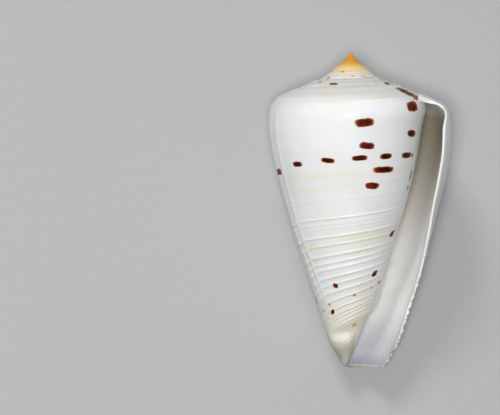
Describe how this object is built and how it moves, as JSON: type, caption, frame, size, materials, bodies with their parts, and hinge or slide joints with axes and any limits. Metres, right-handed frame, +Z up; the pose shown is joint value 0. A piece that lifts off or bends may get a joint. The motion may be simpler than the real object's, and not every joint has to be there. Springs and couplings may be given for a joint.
{
  "type": "cone shell",
  "caption": "Conical sea snail shell with a low pointed spire, a rounded shoulder, fine spiral ribs toward the narrow end and a long slit-like opening.",
  "frame": {"origin": "middle of the bounding box at floor level, the shell lying on its back", "axes": "+Z up out of the opening side, +Y along the shell toward the spire, +X toward the outer lip"},
  "size_m": [0.029, 0.0484, 0.0268],
  "materials": {
    "shell": "polished white aragonite with sparse dark brown spots, an orange tip and a glossy white inside"
  },
  "bodies": {
    "root": {"shell": "shell"}
  },
  "joints": []
}
